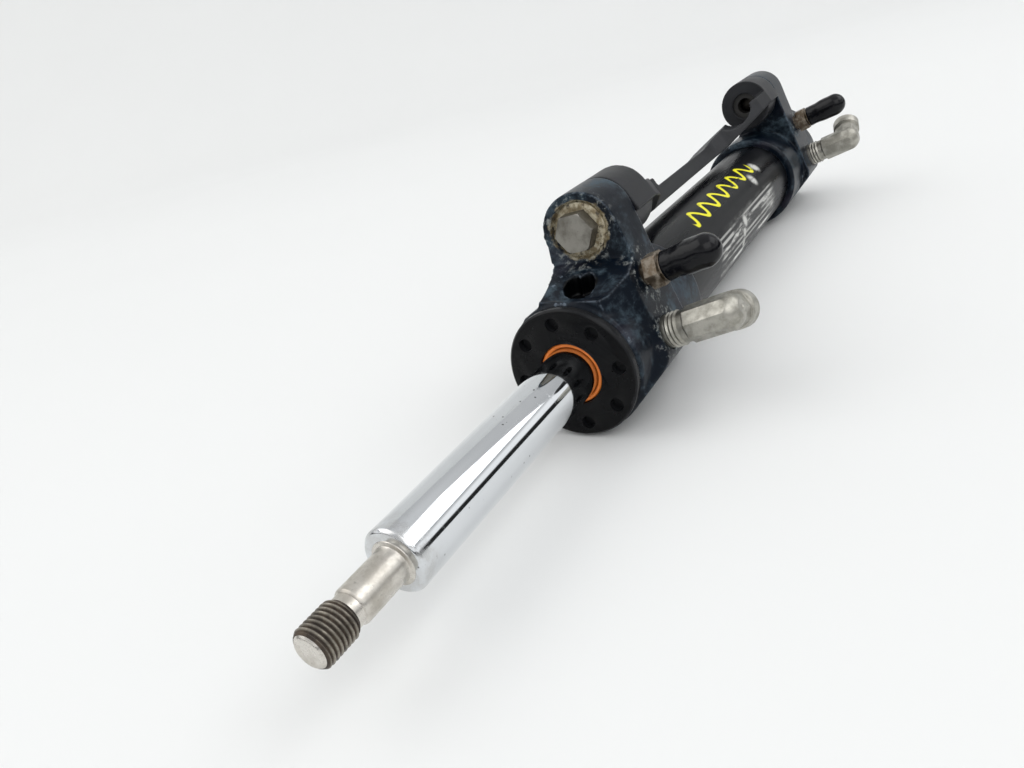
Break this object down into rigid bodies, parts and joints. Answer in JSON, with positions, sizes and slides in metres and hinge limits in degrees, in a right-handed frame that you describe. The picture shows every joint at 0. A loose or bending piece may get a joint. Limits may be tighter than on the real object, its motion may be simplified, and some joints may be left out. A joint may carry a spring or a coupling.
{
  "type": "hydraulic steering cylinder",
  "caption": "Double-acting steering cylinder with a chromed rod, eared end castings, a swinging C-shaped link, port elbows and capped bleed screws.",
  "frame": {"origin": "centre of the near gland's outer face, on the rod's axis", "axes": "+X along the rod, out of the cylinder; +Z from the axis to the pivot bolts; +Y to the side of the hose ports"},
  "size_m": [0.4363, 0.0785, 0.0795],
  "materials": {
    "barrel_gloss_black": "gloss black anodised aluminium",
    "casting_dark_blue": "dark blue-black coated casting, mottled with salt wear",
    "gland_black": "gloss black machined aluminium",
    "wiper_orange": "orange polyurethane wiper",
    "seal_rubber": "black nitrile rubber",
    "bushing_bronze": "bronze bearing material",
    "bushing_dark": "dark filled-plastic bushing, grimy",
    "rod_chrome": "chromed rod, scratched and pitted",
    "piston_aluminium": "machined aluminium",
    "wear_ring_plastic": "filled nylon wear ring",
    "bolt_steel": "stainless steel, dulled by salt",
    "link_graphite": "matt graphite grey coating",
    "fitting_nickel": "satin nickel plating",
    "bleed_brass": "brass, tarnished brown",
    "cap_black": "gloss black vinyl"
  },
  "bodies": {
    "barrel": {"barrel_tube": "barrel_gloss_black", "near_end_casting": "casting_dark_blue", "far_end_casting": "casting_dark_blue", "near_gland": "gland_black", "far_end_plug": "gland_black", "rod_wiper": "wiper_orange", "rod_seal": "seal_rubber", "rod_bushing": "bushing_bronze", "near_gland_o_ring": "seal_rubber", "far_gland_o_ring": "seal_rubber", "near_tube_o_ring": "seal_rubber", "far_tube_o_ring": "seal_rubber", "pivot_bolts": "bolt_steel", "pivot_bolt_washers": "bolt_steel", "near_port_elbow": "fitting_nickel", "far_port_elbow": "fitting_nickel"},
    "rod": {"piston_rod": "rod_chrome", "piston": "piston_aluminium", "piston_seal": "seal_rubber", "piston_wear_rings": "wear_ring_plastic", "piston_o_ring": "seal_rubber", "piston_nut": "bolt_steel"},
    "link": {"pivot_link": "link_graphite", "near_link_bushing": "bushing_dark", "far_link_bushing": "bushing_dark"},
    "near_bleed": {"near_bleed_screw": "bleed_brass"},
    "far_bleed": {"far_bleed_screw": "bleed_brass"},
    "near_cap": {"near_bleed_cap": "cap_black"},
    "far_cap": {"far_bleed_cap": "cap_black"}
  },
  "joints": [
    {"name": "rod_slide", "type": "slide", "parent": "barrel", "child": "rod", "axis": [1, 0, 0], "range_m": [-0.0967, 0.1057]},
    {"name": "link_pivot", "type": "hinge", "parent": "barrel", "child": "link", "pos_m": [-0.1535, 0, 0.0422], "axis": [1, 0, 0], "range_deg": [-240, 0]},
    {"name": "near_bleed_turn", "type": "hinge", "parent": "barrel", "child": "near_bleed", "pos_m": [-0.0307, 0.01962, 0.02372], "axis": [0, 0.9511, 0.309], "range_deg": [0, 360]},
    {"name": "far_bleed_turn", "type": "hinge", "parent": "barrel", "child": "far_bleed", "pos_m": [-0.2763, 0.01962, 0.02372], "axis": [0, 0.9511, 0.309], "range_deg": [0, 360]},
    {"name": "near_cap_pull", "type": "slide", "parent": "near_bleed", "child": "near_cap", "axis": [0, 0.9511, 0.309], "range_m": [0, 0.018]},
    {"name": "far_cap_pull", "type": "slide", "parent": "far_bleed", "child": "far_cap", "axis": [0, 0.9511, 0.309], "range_m": [0, 0.018]}
  ]
}
